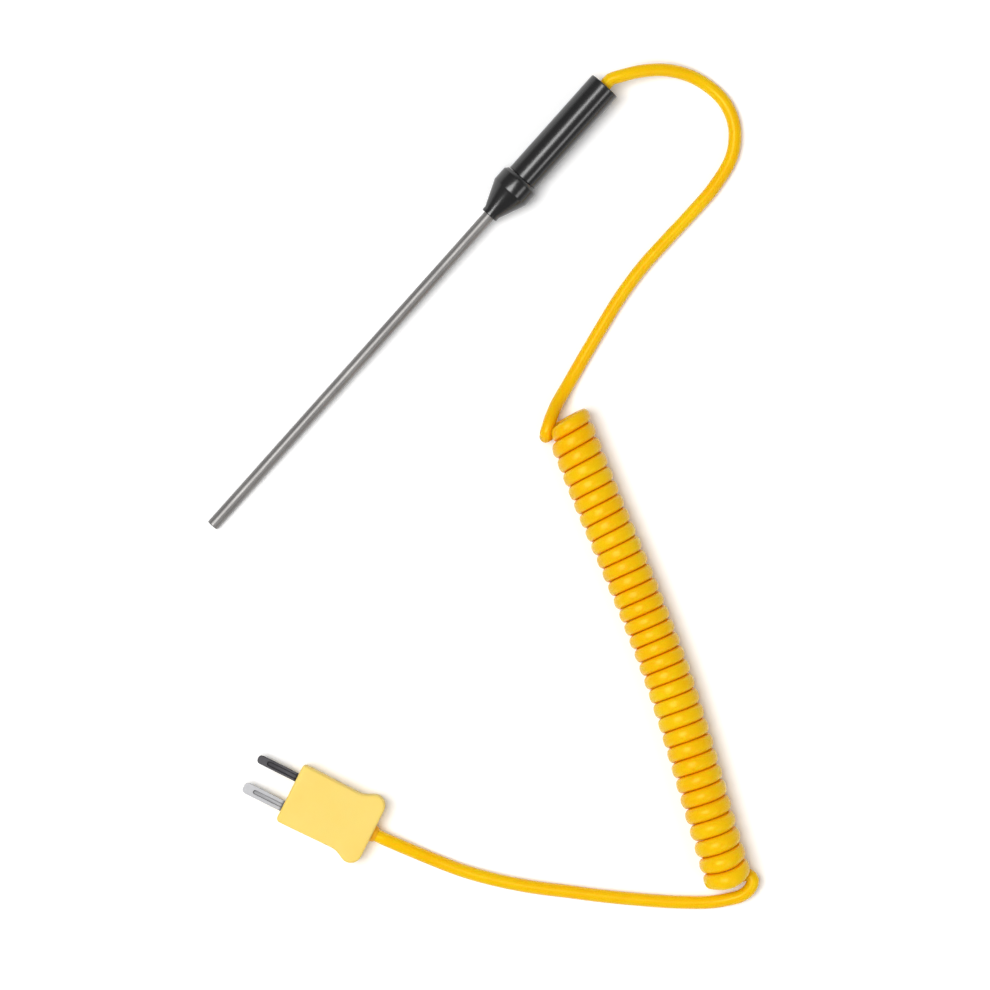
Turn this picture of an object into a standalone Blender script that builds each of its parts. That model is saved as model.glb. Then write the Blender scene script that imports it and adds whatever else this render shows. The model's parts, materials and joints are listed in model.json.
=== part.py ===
"""Hand-held thermocouple probe with a curly cord and a two-blade miniature plug.

The probe lies along +X on its nose band and its sheath tip, and the cord and plug lie on the -Y side.
The origin is on the table under the middle of the probe. Units are metres, +Z is up.
"""

import math

import bmesh
import bpy
from mathutils import Vector

MM = 0.001

# Clearances
SEAT_GAP = 0.3 * MM
FINE_GAP = 0.12 * MM
PARTING_GAP = 0.2 * MM

# Mesh fineness
ROUND_STEPS = 48
RING_STEPS = 24
SMALL_STEPS = 20
ARC_STEP = math.radians(18)
SMALL_ARC_STEP = math.radians(36)
SMALL_ARC_R = 1.0 * MM
RIM_PIECES = 3
COIL_RESOLUTION = 7
ROUTE_SAMPLES = 24
MERGE = 0.001 * MM
SMOOTH_ANGLE = math.radians(35)

# Sheath, insulation and thermo wires
SHEATH_R = 1.6 * MM
SHEATH_WALL = 0.35 * MM
SHEATH_EXPOSED = 112.4 * MM
SHEATH_HELD = 18.4 * MM
TIP_WALL = 0.5 * MM
TIP_EDGE = 0.2 * MM
WIRE_R = 0.2 * MM
WIRE_OFFSET = 0.5 * MM
BEAD_R = 0.42 * MM
BEAD_AT = 1.3 * MM
BEAD_SHAPE = ((-1.0, 0.3), (-0.8, 0.6), (-0.3, 0.95), (0.3, 0.95), (0.8, 0.6))
CORE_FRONT = 2.2 * MM
SEAL_DEPTH = 1.8 * MM
SEAL_PROUD = 0.5 * MM

# Nose, measured from its small end
COLLAR_R = 2.45 * MM
COLLAR_LENGTH = 1.2 * MM
BAND_R = 5.55 * MM
CONE_LENGTH = 7.3 * MM
BAND_LENGTH = 3.9 * MM
SHOULDER_LENGTH = 0.9 * MM
SHOULDER_R = 4.75 * MM
SPIGOT_LENGTH = 6.6 * MM
NOSE_FILLET = 0.4 * MM
FERRULE_WALL = 0.7 * MM
FERRULE_LENGTH = 4.0 * MM
FERRULE_BEHIND_BAND = 0.2 * MM

# Handle
HANDLE_R = 4.5 * MM
HANDLE_WALL = 1.1 * MM
HANDLE_LENGTH = 33.5 * MM
HANDLE_REAR_WALL = 2.0 * MM
HANDLE_EDGE = 0.35 * MM

# Cord
CORD_R = 1.75 * MM
CORD_STEP = 4.8 * MM
CORD_LIFT = 0.02 * MM
CORD_ENDS = (SEAT_GAP, 2.2 * MM)
CONDUCTOR_R = 0.55 * MM
CONDUCTOR_SPREAD = 0.72 * MM
CORD_GRIP = 11.0 * MM
STOP_RING_WALL = 0.9 * MM
STOP_RING_LENGTH = 3.6 * MM

# Splices in the handle
CRIMP_WALL = 0.3 * MM
CRIMP_LENGTH = 5.0 * MM
SLEEVE_WALL = 0.3 * MM
SLEEVE_OVERHANG = 1.0 * MM
SPLICE_BEHIND_SHEATH = 5.4 * MM

# Coil of the cord
COIL_R = 6.5 * MM
COIL_STEP = 8.0 * MM

# Blades
BLADE_T = 0.8 * MM
BLADE_LENGTH = 11.8 * MM
BLADE_SPACING = 8.6 * MM
BLADE_WIDTH_POSITIVE = 2.4 * MM
BLADE_WIDTH_NEGATIVE = 3.0 * MM
BLADE_TIP_R = 1.0 * MM
GROOVE_WIDTH = 1.1 * MM
GROOVE_END_R = 0.5 * MM
GROOVE_DEPTH = 0.25 * MM
GROOVE_FROM_TIP = 2.9 * MM
TAB_WIDTH = 4.6 * MM
TAB_LENGTH = 6.6 * MM
TAB_CORNER = 0.5 * MM

# Terminals in the plug
TERMINAL_SHANK_R = 0.95 * MM
TERMINAL_HEAD_R = 1.7 * MM
TERMINAL_HEAD_H = 0.9 * MM
TERMINAL_HEAD_EDGE = 0.3 * MM
TERMINAL_DEPTH = 2.0 * MM
WASHER_SIDE = 3.8 * MM
WASHER_T = 0.5 * MM
SLOT_WIDTH = 0.5 * MM
SLOT_DEPTH = 0.4 * MM

# Plug housing, from the inside out
FRONT_WALL = 8.55 * MM
WIRE_ROOM = 4.1 * MM
REAR_WALL = 5.75 * MM
SIDE_WALL = 1.48 * MM
ROOF_WALL = 1.0 * MM
FLOOR_WALL = 1.2 * MM
FRONT_FLARE = 0.3 * MM
EAR_REACH = 1.75 * MM
EAR_R = 3.05 * MM
EAR_FLARE = math.radians(30)
WAIST_FILLET = 5.0 * MM
FRONT_CORNER = 1.1 * MM
RIM_R = 0.75 * MM
CHANNEL_HALF = 1.6 * MM
CAVITY_NARROWING = 3.3 * MM

# Housing screws and grommet
HOUSING_SHANK_R = 0.9 * MM
HOUSING_HEAD_R = 1.8 * MM
HOUSING_HEAD_H = 1.4 * MM
HOUSING_HEAD_EDGE = 0.45 * MM
HOUSING_HEAD_SUNK = 0.5 * MM
CROSS_REACH = 1.1 * MM
GROMMET_WALL = 0.65 * MM
GROMMET_DEPTH = 3.0 * MM
GROMMET_PROUD = 0.5 * MM

# Where the plug's front face lies on the table, and the way the blades point
PLUG_AT = (-119.2 * MM, -63.65 * MM)
PLUG_HEADING = math.radians(105.2)

# Route of the cord over the table, in millimetres: x, y and height of its centre
LEAD_ROUTE = [
    (84.2, -1.4, 7.1), (88.8, -4.5, 6.3), (93.5, -9.0, 4.6), (96.6, -14.0, 3.0), (98.3, -20.0, 1.9),
    (98.1, -27.0, 1.75), (95.0, -33.3, 1.75), (88.6, -38.1, 1.75), (79.0, -40.1, 1.75),
    (69.3, -40.3, 1.75), (59.6, -40.1, 1.75), (49.9, -40.1, 1.75), (40.2, -41.0, 1.75),
    (30.6, -42.7, 1.75), (21.1, -44.6, 1.75), (13.0, -46.2, 2.1), (6.9, -47.5, 3.4), (3.8, -47.9, 5.2),
]
COIL_ROUTE = [
    (4.97, -53.13), (3.6, -55.8), (-5.0, -72.8), (-12.7, -88.8), (-20.4, -104.5), (-28.5, -119.8),
    (-37.2, -134.5), (-46.2, -148.9), (-56.6, -165.5), (-58.25, -168.0),
]
TAIL_ROUTE = [
    (-57.0, -173.7, 5.4), (-59.6, -173.4, 3.9), (-62.3, -171.2, 2.5), (-65.7, -168.3, 1.75),
    (-72.2, -161.1, 1.75), (-78.1, -153.5, 1.75), (-83.9, -145.6, 1.75), (-89.4, -137.6, 1.75),
    (-94.9, -129.6, 1.75), (-99.9, -121.2, 1.75), (-104.2, -112.5, 1.75), (-107.6, -103.5, 1.95),
    (-110.4, -95.2, 3.1),
]

# Sizes that follow from the ones above
SHEATH_BORE_R = SHEATH_R - SHEATH_WALL
CORE_R = SHEATH_BORE_R - FINE_GAP
WIRE_HOLE_R = WIRE_R + FINE_GAP
SHEATH_END = SHEATH_EXPOSED + SHEATH_HELD
NOSE_BORE_R = SHEATH_R + FINE_GAP
CONE_END = SHEATH_EXPOSED + COLLAR_LENGTH + CONE_LENGTH
BAND_END = CONE_END + BAND_LENGTH
NOSE_SHOULDER = BAND_END + SHOULDER_LENGTH
SPIGOT_END = NOSE_SHOULDER + SPIGOT_LENGTH
FERRULE_R = NOSE_BORE_R + FERRULE_WALL
FERRULE_FRONT = BAND_END + FERRULE_BEHIND_BAND + FINE_GAP
HANDLE_BORE_R = HANDLE_R - HANDLE_WALL
HANDLE_FRONT = NOSE_SHOULDER + FINE_GAP
HANDLE_REAR = HANDLE_FRONT + HANDLE_LENGTH
CORD_END_IN_HANDLE = HANDLE_REAR - CORD_GRIP
CRIMP_R = WIRE_HOLE_R + CRIMP_WALL
SLEEVE_R = CRIMP_R + FINE_GAP + SLEEVE_WALL
SPLICE_OFFSET = SLEEVE_R + SEAT_GAP
SPLICE_FRONT = SHEATH_END + SPLICE_BEHIND_SHEATH
SPLICE_REAR = SPLICE_FRONT + CRIMP_LENGTH
SPLICE_MIDDLE = (SPLICE_FRONT + SPLICE_REAR) / 2

HALF_T = (
    BLADE_T / 2 + FINE_GAP + 2 * WIRE_R + FINE_GAP + WASHER_T
    + FINE_GAP + TERMINAL_HEAD_H + SEAT_GAP + ROOF_WALL
)
PLUG_T = 2 * HALF_T
PLUG_LENGTH = FRONT_WALL + TAB_LENGTH + WIRE_ROOM + REAR_WALL
WAIST_HALF = BLADE_SPACING / 2 + TAB_WIDTH / 2 + FINE_GAP + SIDE_WALL
FRONT_HALF = WAIST_HALF + FRONT_FLARE
EAR_HALF = WAIST_HALF + EAR_REACH
TAB_FRONT = -FRONT_WALL
TAB_REAR = TAB_FRONT - TAB_LENGTH
CAVITY_REAR = TAB_REAR - WIRE_ROOM
TERMINAL_X = (TAB_FRONT + TAB_REAR) / 2
CAVITY_HALF = WAIST_HALF - SIDE_WALL
WASHER_LOW = HALF_T + BLADE_T / 2 + FINE_GAP + 2 * WIRE_R + FINE_GAP
HEAD_LOW = WASHER_LOW + WASHER_T + FINE_GAP
ROOF_Z = PLUG_T - ROOF_WALL
GROMMET_R = CORD_R + FINE_GAP + GROMMET_WALL
EAR_X = EAR_R - PLUG_LENGTH
EAR_Y = EAR_HALF - EAR_R

# The probe rests on the front of its band and on its tip
CONE_ANGLE = math.atan((BAND_R - COLLAR_R) / CONE_LENGTH)
BAND_REST = CONE_END + NOSE_FILLET * math.tan(CONE_ANGLE / 2)
TILT = math.atan((BAND_R - SHEATH_R) / (BAND_REST - TIP_EDGE))
PROBE_SPAN = HANDLE_REAR * math.cos(TILT)
PROBE_LEAN = (HANDLE_R - HANDLE_EDGE - (SHEATH_R - TIP_EDGE)) * math.sin(TILT)
PROBE_X = -(PROBE_SPAN + PROBE_LEAN) / 2
PROBE_Z = SHEATH_R * math.cos(TILT) - TIP_EDGE * math.sin(TILT)


def clear_scene():
    for item in list(bpy.data.objects):
        bpy.data.objects.remove(item, do_unlink=True)


def material(name, colour, roughness, metallic=0.0):
    made = bpy.data.materials.new(name)
    made.use_nodes = True
    shader = made.node_tree.nodes["Principled BSDF"]
    shader.inputs["Base Color"].default_value = (*colour, 1.0)
    shader.inputs["Roughness"].default_value = roughness
    shader.inputs["Metallic"].default_value = metallic
    return made


def frame(name, location, tilt=0.0, heading=0.0):
    """An empty that carries the pieces of one sub-assembly."""
    empty = bpy.data.objects.new(name, None)
    bpy.context.scene.collection.objects.link(empty)
    empty.location = location
    empty.rotation_euler = (0.0, -tilt, heading)
    return empty


def placed(name, data, parent, finish, location=(0.0, 0.0, 0.0)):
    item = bpy.data.objects.new(name, data)
    bpy.context.scene.collection.objects.link(item)
    item.parent = parent
    item.location = location
    if finish is not None:
        data.materials.append(finish)
    return item


def finished_mesh(name, shape):
    """Turns the bmesh into a smooth-shaded mesh with sharp edges kept."""
    bmesh.ops.remove_doubles(shape, verts=shape.verts, dist=MERGE)
    bmesh.ops.recalc_face_normals(shape, faces=shape.faces)
    mesh = bpy.data.meshes.new(name)
    shape.to_mesh(mesh)
    shape.free()
    mesh.shade_smooth()
    mesh.set_sharp_from_angle(angle=SMOOTH_ANGLE)
    return mesh


def rounded(corners):
    """Corners (x, y, radius) as points, with an arc at each corner that has a radius."""
    points = []
    for index, (x, y, radius) in enumerate(corners):
        corner = Vector((x, y))
        if radius == 0.0:
            points.append(corner)
            continue
        before = Vector(corners[index - 1][:2]) - corner
        after = Vector(corners[(index + 1) % len(corners)][:2]) - corner
        before.normalize()
        after.normalize()
        half = before.angle(after) / 2
        centre = corner + (before + after).normalized() * radius / math.sin(half)
        start = corner + before * radius / math.tan(half) - centre
        end = corner + after * radius / math.tan(half) - centre
        first = math.atan2(start.y, start.x)
        sweep = math.atan2(start.x * end.y - start.y * end.x, start.dot(end))
        step = ARC_STEP if radius > SMALL_ARC_R else SMALL_ARC_STEP
        pieces = max(2, math.ceil(abs(sweep) / step))
        for piece in range(pieces + 1):
            angle = first + sweep * piece / pieces
            points.append(centre + Vector((math.cos(angle), math.sin(angle))) * radius)
    return points


def turned(name, profile, parent, finish, location=(0.0, 0.0, 0.0), steps=ROUND_STEPS, upright=False):
    """A turned piece about X, or about Z if upright. The profile holds (along, radius, fillet) corners.

    A profile that leaves and returns to the axis makes a solid piece, and one that stays off it a ring.
    """
    shape = bmesh.new()
    points = rounded(profile)
    if upright:
        verts = [shape.verts.new((radius, 0.0, along)) for along, radius in points]
    else:
        verts = [shape.verts.new((along, 0.0, radius)) for along, radius in points]
    edges = [shape.edges.new(pair) for pair in zip(verts, verts[1:])]
    if min(radius for along, radius in points) > 0.0:
        edges.append(shape.edges.new((verts[-1], verts[0])))
    axis = (0.0, 0.0, 1.0) if upright else (1.0, 0.0, 0.0)
    bmesh.ops.spin(shape, geom=verts + edges, cent=(0.0, 0.0, 0.0), axis=axis, angle=math.tau, steps=steps)
    return placed(name, finished_mesh(name, shape), parent, finish, location)


def ring_profile(start, end, inner, outer, fillet=0.0):
    return [(start, inner, 0.0), (start, outer, fillet), (end, outer, fillet), (end, inner, 0.0)]


def rod_profile(start, end, radius, fillet=0.0):
    return [(start, 0.0, 0.0), (start, radius, fillet), (end, radius, fillet), (end, 0.0, 0.0)]


def slab_shape(outline, low, high):
    shape = bmesh.new()
    bottom = shape.faces.new([shape.verts.new((x, y, low)) for x, y in outline])
    grown = bmesh.ops.extrude_face_region(shape, geom=[bottom])["geom"]
    top = [item for item in grown if isinstance(item, bmesh.types.BMVert)]
    bmesh.ops.translate(shape, verts=top, vec=(0.0, 0.0, high - low))
    return shape


def slab(name, outline, low, high, parent, finish, rim=None, rim_radius=0.0):
    """An extruded outline. Its outer edge at the height rim is rounded if that is given."""
    shape = slab_shape(outline, low, high)
    if rim is not None:
        edges = [e for e in shape.edges if all(abs(v.co.z - rim) < MERGE for v in e.verts)]
        bmesh.ops.bevel(
            shape, geom=edges, offset=rim_radius, segments=RIM_PIECES, profile=0.5, affect="EDGES"
        )
    return placed(name, finished_mesh(name, shape), parent, finish)


def box_outline(x_low, x_high, y_low, y_high):
    return [(x_low, y_low), (x_high, y_low), (x_high, y_high), (x_low, y_high)]


def cut(body, tools):
    """Takes each tool's shape out of the body, and hides the tool."""
    for tool in tools:
        modifier = body.modifiers.new(tool.name, "BOOLEAN")
        modifier.operation = "DIFFERENCE"
        modifier.object = tool
        tool.hide_render = True
        tool.display_type = "WIRE"


def tube(name, points, radius, parent, finish, resolution=2, thickness=None):
    """A round tube along the points. The list thickness scales its radius at each point."""
    curve = bpy.data.curves.new(name, "CURVE")
    curve.dimensions = "3D"
    curve.bevel_depth = radius
    curve.bevel_resolution = resolution
    curve.use_fill_caps = True
    spline = curve.splines.new("POLY")
    spline.points.add(len(points) - 1)
    for index, point in enumerate(points):
        spline.points[index].co = (*point, 1.0)
        if thickness is not None:
            spline.points[index].radius = thickness[index]
    return placed(name, curve, parent, finish)


def smooth_route(points, step):
    """Points about a step apart along one smooth curve through the given points."""
    dense = []
    padded = [points[0] * 2 - points[1], *points, points[-1] * 2 - points[-2]]
    for a, b, c, d in zip(padded, padded[1:], padded[2:], padded[3:]):
        for sample in range(ROUTE_SAMPLES):
            t = sample / ROUTE_SAMPLES
            dense.append(
                0.5 * (2 * b + (c - a) * t + (2 * a - 5 * b + 4 * c - d) * t**2 + (3 * b - 3 * c + d - a) * t**3)
            )
    dense.append(points[-1])
    lengths = [(q - p).length for p, q in zip(dense, dense[1:])]
    count = round(sum(lengths) / step)
    spacing = sum(lengths) / count
    route = [dense[0]]
    travelled = 0.0
    for point, length in zip(dense[1:], lengths):
        travelled += length
        if travelled >= spacing * len(route) and len(route) < count:
            route.append(point)
    route.append(dense[-1])
    return route


def probe_point(along):
    """A point on the probe's axis, in world coordinates."""
    return Vector((PROBE_X + along * math.cos(TILT), 0.0, PROBE_Z + along * math.sin(TILT)))


def plug_point(x, height):
    """A point over the plug's middle line, in world coordinates."""
    ahead = Vector((math.cos(PLUG_HEADING), math.sin(PLUG_HEADING), 0.0))
    return Vector((*PLUG_AT, height)) + ahead * x


def make_sheath(probe, finish):
    profile = [
        (0.0, 0.0, 0.0),
        (0.0, SHEATH_R, TIP_EDGE),
        (SHEATH_END, SHEATH_R, 0.0),
        (SHEATH_END, SHEATH_BORE_R, 0.0),
        (TIP_WALL, SHEATH_BORE_R, 0.0),
        (TIP_WALL, 0.0, 0.0),
    ]
    turned("sheath", profile, probe, finish)


def wire_holes(name, start, end, probe):
    """Two tools for the bores that the thermo wires run through."""
    profile = rod_profile(start - SEAT_GAP, end + SEAT_GAP, WIRE_HOLE_R)
    return [
        turned(f"{name}_bore_{side:+d}", profile, probe, None, (0.0, side * WIRE_OFFSET, 0.0), SMALL_STEPS)
        for side in (1, -1)
    ]


def make_insulation(probe, mineral, sealant):
    core_end = SHEATH_END - SEAL_DEPTH - FINE_GAP
    core = turned("insulator_core", rod_profile(CORE_FRONT, core_end, CORE_R), probe, mineral)
    seal_start = SHEATH_END - SEAL_DEPTH
    seal_end = SHEATH_END + SEAL_PROUD
    seal_profile = rod_profile(seal_start, seal_end, CORE_R)
    seal = turned("end_seal", seal_profile, probe, sealant, steps=RING_STEPS)
    cut(core, wire_holes("core", CORE_FRONT, core_end, probe))
    cut(seal, wire_holes("seal", seal_start, seal_end, probe))


def wire_route(side):
    """From the sheath's front bore to the middle of the splice."""
    return [
        (CORE_FRONT, side * WIRE_OFFSET, 0.0),
        (SHEATH_END + SEAL_PROUD + SEAT_GAP, side * WIRE_OFFSET, 0.0),
        (SPLICE_FRONT - SLEEVE_OVERHANG, side * SPLICE_OFFSET, 0.0),
        (SPLICE_MIDDLE - SEAT_GAP / 2, side * SPLICE_OFFSET, 0.0),
    ]


def make_wires(probe, positive, negative):
    """The positive wire carries the welded bead, and the negative one ends just behind it."""
    bead_points = [(BEAD_AT + BEAD_R * across, 0.0, 0.0) for across, size in BEAD_SHAPE]
    bead_sizes = [size * BEAD_R / WIRE_R for across, size in BEAD_SHAPE]
    straight = wire_route(1)
    sizes = bead_sizes + [1.0] * len(straight)
    tube("wire_positive", bead_points + straight, WIRE_R, probe, positive, thickness=sizes)
    start = (BEAD_AT + BEAD_R + SEAT_GAP, -WIRE_OFFSET, 0.0)
    tube("wire_negative", [start, *wire_route(-1)], WIRE_R, probe, negative)


def make_nose(probe, finish):
    collar_end = SHEATH_EXPOSED + COLLAR_LENGTH
    spigot_r = HANDLE_BORE_R - FINE_GAP
    seat = FERRULE_FRONT - FINE_GAP
    profile = [
        (SHEATH_EXPOSED, NOSE_BORE_R, 0.0),
        (SHEATH_EXPOSED, COLLAR_R, NOSE_FILLET / 2),
        (collar_end, COLLAR_R, 0.0),
        (CONE_END, BAND_R, NOSE_FILLET),
        (BAND_END, BAND_R, NOSE_FILLET),
        (NOSE_SHOULDER, SHOULDER_R, 0.0),
        (NOSE_SHOULDER, spigot_r, 0.0),
        (SPIGOT_END, spigot_r, NOSE_FILLET / 2),
        (SPIGOT_END, FERRULE_R + FINE_GAP, 0.0),
        (seat, FERRULE_R + FINE_GAP, 0.0),
        (seat, NOSE_BORE_R, 0.0),
    ]
    turned("nose_cone", profile, probe, finish)


def make_ferrule(probe, finish):
    profile = ring_profile(FERRULE_FRONT, FERRULE_FRONT + FERRULE_LENGTH, NOSE_BORE_R, FERRULE_R, FINE_GAP)
    turned("sheath_ferrule", profile, probe, finish, steps=RING_STEPS)


def make_handle(probe, finish):
    cord_hole_r = CORD_R + SEAT_GAP
    wall_front = HANDLE_REAR - HANDLE_REAR_WALL
    profile = [
        (HANDLE_FRONT, HANDLE_BORE_R, 0.0),
        (HANDLE_FRONT, HANDLE_R, HANDLE_EDGE / 2),
        (HANDLE_REAR, HANDLE_R, HANDLE_EDGE),
        (HANDLE_REAR, cord_hole_r, 0.0),
        (wall_front, cord_hole_r, 0.0),
        (wall_front, HANDLE_BORE_R, 0.0),
    ]
    turned("handle_tube", profile, probe, finish)


def make_splices(probe, crimp_finish, sleeve_finish):
    for pole, side in (("positive", 1), ("negative", -1)):
        place = (0.0, side * SPLICE_OFFSET, 0.0)
        crimp = ring_profile(SPLICE_FRONT, SPLICE_REAR, WIRE_HOLE_R, CRIMP_R)
        sleeve_front = SPLICE_FRONT - SLEEVE_OVERHANG
        sleeve_rear = SPLICE_REAR + SLEEVE_OVERHANG
        sleeve = ring_profile(sleeve_front, sleeve_rear, CRIMP_R + FINE_GAP, SLEEVE_R)
        turned(f"crimp_{pole}", crimp, probe, crimp_finish, place, SMALL_STEPS)
        turned(f"sleeve_{pole}", sleeve, probe, sleeve_finish, place, SMALL_STEPS)


def make_conductors(probe, finishes):
    """Insulated conductors from the splices to the cord's end, bare where a crimp holds them."""
    bare = WIRE_R / CONDUCTOR_R
    for side, (pole, finish) in zip((1, -1), finishes.items()):
        bare_end = SPLICE_REAR + SEAT_GAP
        sleeve_end = SPLICE_REAR + SLEEVE_OVERHANG
        points = [
            (SPLICE_MIDDLE + SEAT_GAP / 2, side * SPLICE_OFFSET, 0.0),
            (bare_end, side * SPLICE_OFFSET, 0.0),
            (bare_end + FINE_GAP, side * SPLICE_OFFSET, 0.0),
            (sleeve_end + SEAT_GAP, side * SPLICE_OFFSET, 0.0),
            (CORD_END_IN_HANDLE - CONDUCTOR_R * 2, side * CONDUCTOR_SPREAD, 0.0),
            (CORD_END_IN_HANDLE - FINE_GAP, side * CONDUCTOR_SPREAD, 0.0),
        ]
        sizes = [bare, bare, 1.0, 1.0, 1.0, 1.0]
        tube(f"conductor_{pole}", points, CONDUCTOR_R, probe, finish, thickness=sizes)


def make_cord_end_in_handle(probe, jacket, ring_finish):
    profile = rod_profile(CORD_END_IN_HANDLE, HANDLE_REAR, CORD_R)
    turned("cord_end_handle", profile, probe, jacket, steps=RING_STEPS)
    ring_rear = HANDLE_REAR - HANDLE_REAR_WALL - SEAT_GAP
    inner = CORD_R + FINE_GAP
    profile = ring_profile(ring_rear - STOP_RING_LENGTH, ring_rear, inner, inner + STOP_RING_WALL, FINE_GAP)
    turned("cord_stop_ring", profile, probe, ring_finish, steps=RING_STEPS)


def plug_outline():
    """The housing seen from above: straight sides, a shallow waist and round ears."""
    along_flare = Vector((math.cos(EAR_FLARE), -math.sin(EAR_FLARE)))
    across_flare = Vector((math.sin(EAR_FLARE), math.cos(EAR_FLARE)))
    touch = Vector((EAR_X, EAR_Y)) + across_flare * EAR_R
    waist = touch + along_flare * (touch.y - WAIST_HALF) / math.sin(EAR_FLARE)
    ear = touch - along_flare * (touch.x + PLUG_LENGTH) / math.cos(EAR_FLARE)
    side = [
        (0.0, FRONT_HALF, FRONT_CORNER),
        (waist.x, waist.y, WAIST_FILLET),
        (ear.x, ear.y, EAR_R),
    ]
    other_side = [(x, -y, radius) for x, y, radius in reversed(side)]
    return rounded(side + other_side)


def cavity_outline(front_half):
    """The room for terminals and wires, front_half wide in front and narrow between the ears."""
    side = [(TAB_FRONT, front_half, 0.0)]
    if front_half < CAVITY_HALF:
        side += [(TAB_REAR, front_half, 0.0), (TAB_REAR, CAVITY_HALF, TAB_CORNER)]
    side += [
        (CAVITY_REAR + WIRE_ROOM / 2, CAVITY_HALF, TAB_CORNER),
        (CAVITY_REAR, CAVITY_HALF - CAVITY_NARROWING, TAB_CORNER),
    ]
    other_side = [(x, -y, radius) for x, y, radius in reversed(side)]
    return rounded(side + other_side)


def blade_outline(width, middle, grow=0.0, reach=0.0):
    """A blade with a round tip and a wider tab behind; grow and reach enlarge it for the tool."""
    half = width / 2 + grow
    tab_half = TAB_WIDTH / 2 + grow
    tip_r = BLADE_TIP_R if grow == 0.0 else 0.0
    corner = TAB_CORNER if grow == 0.0 else 0.0
    side = [
        (BLADE_LENGTH + reach, half, tip_r),
        (TAB_FRONT + grow, half, 0.0),
        (TAB_FRONT + grow, tab_half, corner),
        (TAB_REAR - grow, tab_half, corner),
    ]
    other_side = [(x, -y, radius) for x, y, radius in reversed(side)]
    return [(x, y + middle) for x, y in rounded(side + other_side)]


def poles():
    """Name, side of the plug and blade width. The narrow blade is the positive one."""
    yield "positive", -1, BLADE_WIDTH_POSITIVE
    yield "negative", 1, BLADE_WIDTH_NEGATIVE


def make_blades(plug, finish):
    low = HALF_T - BLADE_T / 2
    high = HALF_T + BLADE_T / 2
    for pole, side, width in poles():
        middle = side * BLADE_SPACING / 2
        name = f"blade_{pole}"
        blade = slab(name, blade_outline(width, middle), low, high, plug, finish)
        groove_front = BLADE_LENGTH - GROOVE_FROM_TIP
        half = GROOVE_WIDTH / 2
        groove = [
            (groove_front, middle + half, GROOVE_END_R),
            (-FRONT_CORNER, middle + half, 0.0),
            (-FRONT_CORNER, middle - half, 0.0),
            (groove_front, middle - half, GROOVE_END_R),
        ]
        groove_low = high - GROOVE_DEPTH
        hole = rod_profile(low - SEAT_GAP, high + SEAT_GAP, TERMINAL_SHANK_R + FINE_GAP)
        place = (TERMINAL_X, middle, 0.0)
        cut(
            blade,
            [
                slab(f"{name}_groove", rounded(groove), groove_low, high + SEAT_GAP, plug, None),
                turned(f"{name}_hole", hole, plug, None, place, SMALL_STEPS, upright=True),
            ],
        )


def make_terminals(plug, screw_finish, washer_finish):
    for pole, side, width in poles():
        place = (TERMINAL_X, side * BLADE_SPACING / 2, 0.0)
        low = HALF_T - BLADE_T / 2 - TERMINAL_DEPTH
        head_top = HEAD_LOW + TERMINAL_HEAD_H
        profile = [
            (low, 0.0, 0.0),
            (low, TERMINAL_SHANK_R, FINE_GAP),
            (HEAD_LOW, TERMINAL_SHANK_R, 0.0),
            (HEAD_LOW, TERMINAL_HEAD_R, 0.0),
            (head_top, TERMINAL_HEAD_R, TERMINAL_HEAD_EDGE),
            (head_top, 0.0, 0.0),
        ]
        name = f"terminal_screw_{pole}"
        screw = turned(name, profile, plug, screw_finish, place, SMALL_STEPS, upright=True)
        reach = TERMINAL_HEAD_R + SEAT_GAP
        slot = box_outline(
            place[0] - reach, place[0] + reach, place[1] - SLOT_WIDTH / 2, place[1] + SLOT_WIDTH / 2
        )
        cut(screw, [slab(f"{name}_slot", slot, head_top - SLOT_DEPTH, head_top + SEAT_GAP, plug, None)])
        half = WASHER_SIDE / 2
        outline = box_outline(place[0] - half, place[0] + half, place[1] - half, place[1] + half)
        washer_name = f"clamp_washer_{pole}"
        washer = slab(washer_name, outline, WASHER_LOW, WASHER_LOW + WASHER_T, plug, washer_finish)
        hole = rod_profile(WASHER_LOW - SEAT_GAP, HEAD_LOW, TERMINAL_SHANK_R + FINE_GAP)
        cut(washer, [turned(f"{washer_name}_hole", hole, plug, None, place, SMALL_STEPS, upright=True)])


def make_plug_conductors(plug, finishes):
    """From the cord's end to the terminals, bare under the washers."""
    bare = WIRE_R / CONDUCTOR_R
    wire_z = HALF_T + BLADE_T / 2 + FINE_GAP + WIRE_R
    over_tab_z = HALF_T + BLADE_T / 2 + FINE_GAP + CONDUCTOR_R
    beside_screw = BLADE_SPACING / 2 - TERMINAL_SHANK_R - FINE_GAP - WIRE_R
    washer_rear = TERMINAL_X - WASHER_SIDE / 2
    for pole, side, width in poles():
        points = [
            (CAVITY_REAR - SEAT_GAP, side * CONDUCTOR_SPREAD, HALF_T),
            (CAVITY_REAR + CONDUCTOR_R, side * CONDUCTOR_SPREAD, HALF_T),
            (TAB_REAR - SEAT_GAP, side * beside_screw, over_tab_z),
            (washer_rear - 3 * FINE_GAP, side * beside_screw, over_tab_z),
            (washer_rear - 2 * FINE_GAP, side * beside_screw, wire_z),
            (TERMINAL_X + WASHER_SIDE / 2, side * beside_screw, wire_z),
        ]
        sizes = [1.0, 1.0, 1.0, 1.0, bare, bare]
        tube(f"plug_conductor_{pole}", points, CONDUCTOR_R, plug, finishes[pole], thickness=sizes)


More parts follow.
